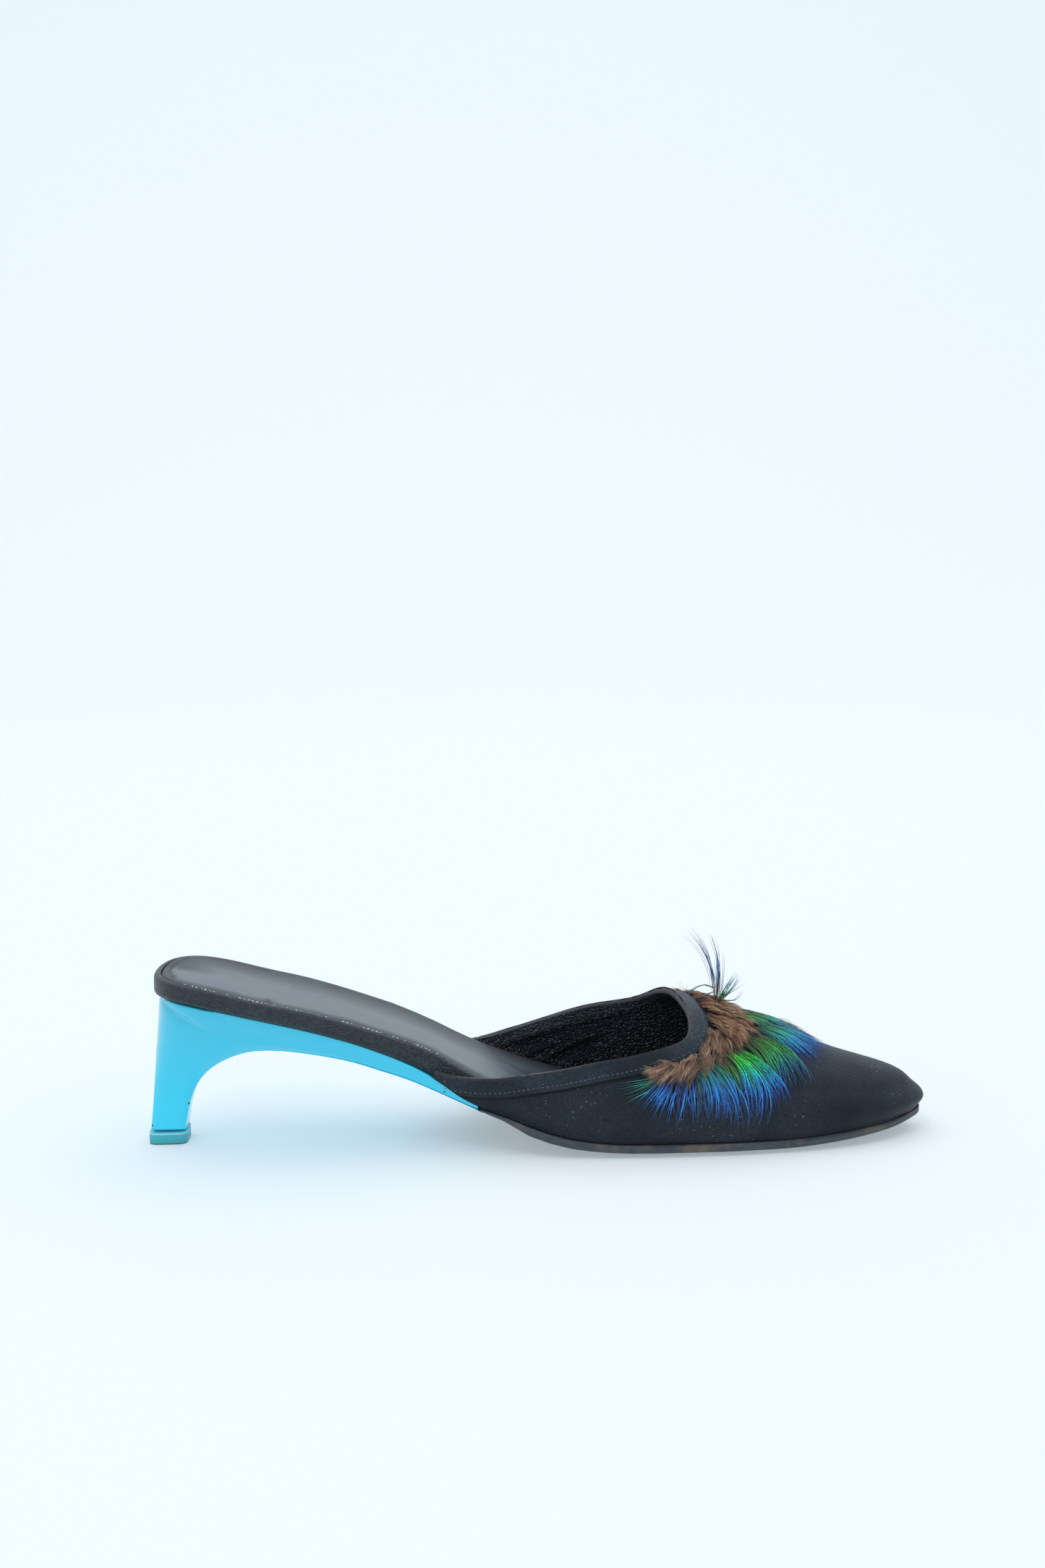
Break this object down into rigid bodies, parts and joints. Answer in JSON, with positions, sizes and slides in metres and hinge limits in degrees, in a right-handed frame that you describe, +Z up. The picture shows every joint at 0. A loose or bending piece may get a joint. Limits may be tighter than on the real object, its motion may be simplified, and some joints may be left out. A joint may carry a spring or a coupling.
{
  "type": "feather-trimmed mule",
  "caption": "Left slip-on mule with a closed pointed toe, open back, low moulded heel and a feather spray on the vamp.",
  "frame": {"origin": "on the floor under the middle of the top lift", "axes": "+X towards the toe, +Y towards the outer side of the foot, +Z up; the shoe stands on its top lift and the ball of its sole"},
  "size_m": [0.258, 0.0786, 0.0651],
  "materials": {
    "sole_leather": "dark, worn at the edge",
    "teal_rubber": "satin teal",
    "turquoise_lacquer": "gloss turquoise",
    "black_leather": "grained black",
    "polished_leather": "smooth, polished by wear",
    "black_satin": "black satin",
    "blue_green_feather": "iridescent blue and green over brown down"
  },
  "bodies": {
    "root": {"outsole": "sole_leather", "top_lift": "teal_rubber", "heel": "turquoise_lacquer", "footbed": "black_leather", "sock": "polished_leather", "upper": "black_satin", "topline_band": "black_satin", "feather_trim": "blue_green_feather", "feather_tuft": "blue_green_feather"}
  },
  "joints": []
}
